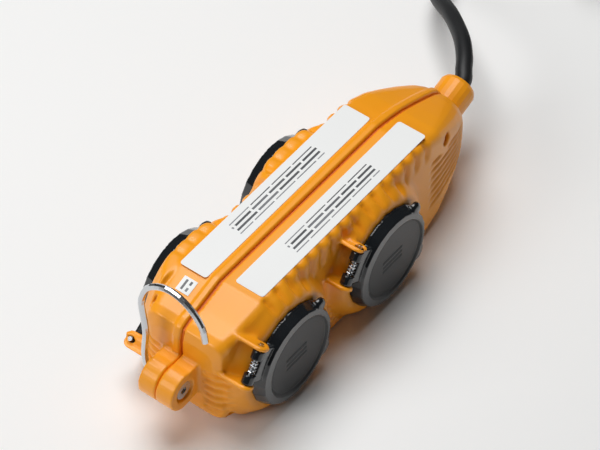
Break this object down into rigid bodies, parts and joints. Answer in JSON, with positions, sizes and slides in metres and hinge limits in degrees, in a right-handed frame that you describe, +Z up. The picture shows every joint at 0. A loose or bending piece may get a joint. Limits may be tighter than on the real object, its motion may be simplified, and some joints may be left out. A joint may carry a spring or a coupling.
{
  "type": "portable power distribution box",
  "caption": "Portable outdoor socket block with lidded sockets on both long sides, a wire hanging hook and a long rubber mains cord.",
  "frame": {"origin": "bottom centre of the box, on the surface it stands on", "axes": "+Z up, +X along the box towards its cord, +Y to the left side"},
  "size_m": [0.6053, 0.1201, 0.102],
  "materials": {
    "housing": "orange moulded polypropylene, satin",
    "dark_plastic": "dark grey moulded plastic",
    "rubber": "black rubber, matt",
    "steel": "zinc plated steel",
    "brass": "plain brass",
    "sticker": "white film sticker",
    "grey_plastic": "grey plastic",
    "wire_live": "brown insulation",
    "wire_neutral": "blue insulation",
    "wire_earth": "green and yellow insulation"
  },
  "bodies": {
    "root": {"clamp_screw_1": "steel", "clamp_screw_2": "steel", "cord": "rubber", "cord_clamp": "dark_plastic", "cord_hank": "rubber", "cord_inside": "rubber", "cord_sleeve": "housing", "cord_tail": "rubber", "earth_pin_left_1": "brass", "earth_pin_left_2": "brass", "earth_pin_right_1": "brass", "earth_pin_right_2": "brass", "earth_strip_left": "brass", "earth_strip_right": "brass", "hinge_pin_left_1": "steel", "hinge_pin_left_2": "steel", "hinge_pin_right_1": "steel", "hinge_pin_right_2": "steel", "housing_screw_left_1": "steel", "housing_screw_left_2": "steel", "housing_screw_right_1": "steel", "housing_screw_right_2": "steel", "label_left": "sticker", "label_right": "sticker", "label_small": "sticker", "left_shell": "housing", "lid_spring_left_1": "steel", "lid_spring_left_2": "steel", "lid_spring_right_1": "steel", "lid_spring_right_2": "steel", "live_strip_left": "brass", "live_strip_right": "brass", "neutral_strip_left": "brass", "neutral_strip_right": "brass", "plug": "rubber", "plug_pin_1": "brass", "plug_pin_2": "brass", "right_shell": "housing", "seam_gasket": "rubber", "socket_insert_left_1": "dark_plastic", "socket_insert_left_2": "dark_plastic", "socket_insert_right_1": "dark_plastic", "socket_insert_right_2": "dark_plastic", "supply_wire_earth": "wire_earth", "supply_wire_live": "wire_live", "supply_wire_neutral": "wire_neutral"},
    "lid_left_1": {"lid_left_1": "dark_plastic", "lid_seal_left_1": "rubber"},
    "shutter_left_1": {"shutter_left_1": "grey_plastic"},
    "lid_left_2": {"lid_left_2": "dark_plastic", "lid_seal_left_2": "rubber"},
    "shutter_left_2": {"shutter_left_2": "grey_plastic"},
    "lid_right_1": {"lid_right_1": "dark_plastic", "lid_seal_right_1": "rubber"},
    "shutter_right_1": {"shutter_right_1": "grey_plastic"},
    "lid_right_2": {"lid_right_2": "dark_plastic", "lid_seal_right_2": "rubber"},
    "shutter_right_2": {"shutter_right_2": "grey_plastic"},
    "hook": {"hook": "steel", "hook_washer": "steel"}
  },
  "joints": [
    {"name": "lid_left_1_hinge", "type": "hinge", "parent": "root", "child": "lid_left_1", "pos_m": [-0.097, 0.036, 0.01795], "axis": [-0.5592, 0, 0.829], "range_deg": [0, 115], "stiffness_Nm_per_rad": 0.02, "springref_deg": -45.84},
    {"name": "shutter_left_1_slide", "type": "slide", "parent": "root", "child": "shutter_left_1", "axis": [1, 0, 0], "range_m": [0, 0.0062], "stiffness_N_per_m": 60, "springref_m": -0.004},
    {"name": "lid_left_2_hinge", "type": "hinge", "parent": "root", "child": "lid_left_2", "pos_m": [-0.018, 0.036, 0.01795], "axis": [-0.5592, 0, 0.829], "range_deg": [0, 115], "stiffness_Nm_per_rad": 0.02, "springref_deg": -45.84},
    {"name": "shutter_left_2_slide", "type": "slide", "parent": "root", "child": "shutter_left_2", "axis": [1, 0, 0], "range_m": [0, 0.0062], "stiffness_N_per_m": 60, "springref_m": -0.004},
    {"name": "lid_right_1_hinge", "type": "hinge", "parent": "root", "child": "lid_right_1", "pos_m": [-0.097, -0.036, 0.05365], "axis": [-0.5592, 0, -0.829], "range_deg": [0, 115], "stiffness_Nm_per_rad": 0.02, "springref_deg": -45.84},
    {"name": "shutter_right_1_slide", "type": "slide", "parent": "root", "child": "shutter_right_1", "axis": [1, 0, 0], "range_m": [0, 0.0062], "stiffness_N_per_m": 60, "springref_m": -0.004},
    {"name": "lid_right_2_hinge", "type": "hinge", "parent": "root", "child": "lid_right_2", "pos_m": [-0.018, -0.036, 0.05365], "axis": [-0.5592, 0, -0.829], "range_deg": [0, 115], "stiffness_Nm_per_rad": 0.02, "springref_deg": -45.84},
    {"name": "shutter_right_2_slide", "type": "slide", "parent": "root", "child": "shutter_right_2", "axis": [1, 0, 0], "range_m": [0, 0.0062], "stiffness_N_per_m": 60, "springref_m": -0.004},
    {"name": "hook_pivot", "type": "hinge", "parent": "root", "child": "hook", "pos_m": [-0.118, 0, 0.0358], "axis": [0, -1, 0], "range_deg": [0, 175]}
  ]
}
